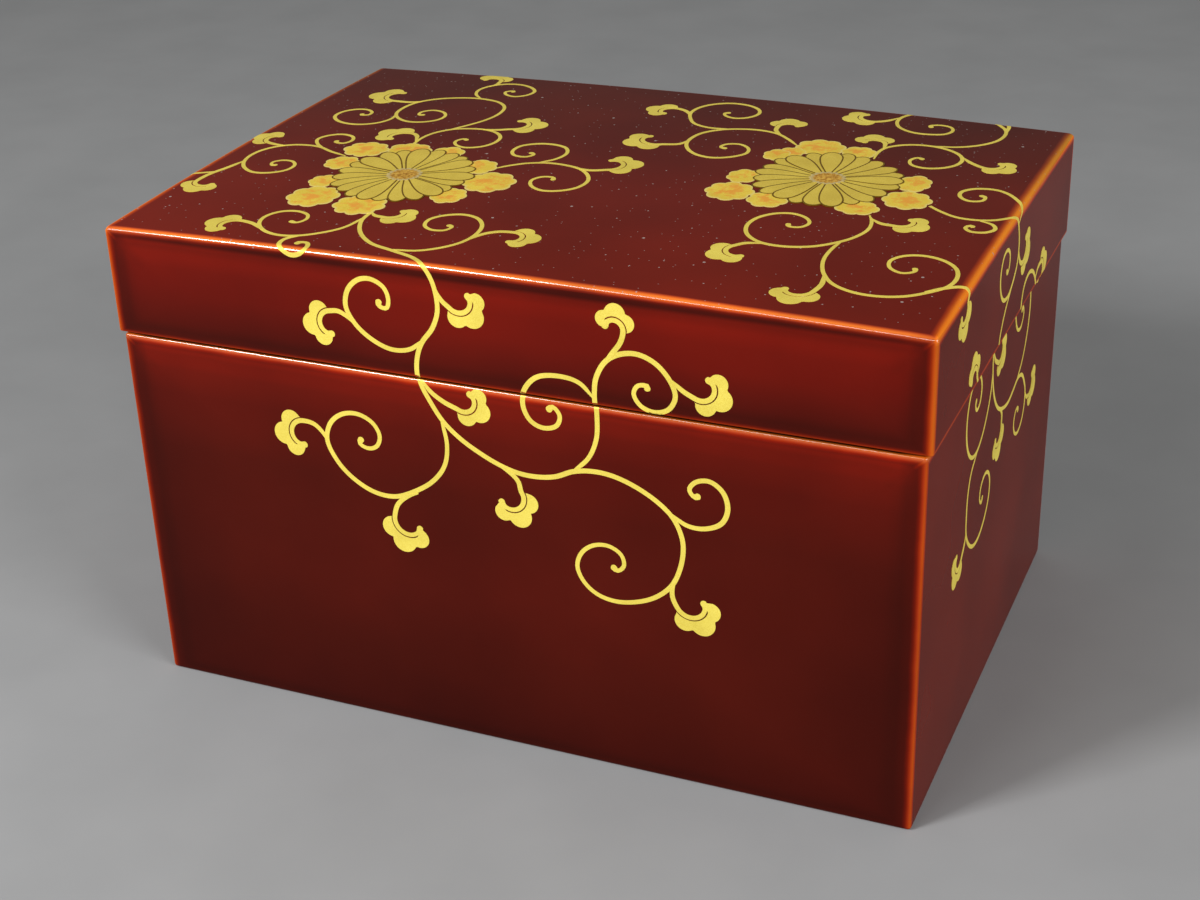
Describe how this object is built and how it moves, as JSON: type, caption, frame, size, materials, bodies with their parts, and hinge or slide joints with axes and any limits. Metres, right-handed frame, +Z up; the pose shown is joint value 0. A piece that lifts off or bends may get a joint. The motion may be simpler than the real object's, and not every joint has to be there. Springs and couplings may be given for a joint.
{
  "type": "tea utensil box",
  "caption": "Rectangular lacquered wooden box for tea utensils, hollow, with a gently crowned lid that lifts off over an inner lip and gold chrysanthemum and vine painting.",
  "frame": {"origin": "centre of the underside of the body, on the surface the box stands on", "axes": "+Z up, +X along the long side, the front long side faces -Y"},
  "size_m": [0.2154, 0.1468, 0.1345],
  "materials": {
    "body_lacquer": "glossy translucent reddish-brown lacquer on wood, orange-red along the arrises, with gold painting",
    "lid_lacquer": "glossy translucent reddish-brown lacquer on wood, orange-red along the arrises, with gold painting"
  },
  "bodies": {
    "root": {"body": "body_lacquer", "lid": "lid_lacquer"}
  },
  "joints": []
}
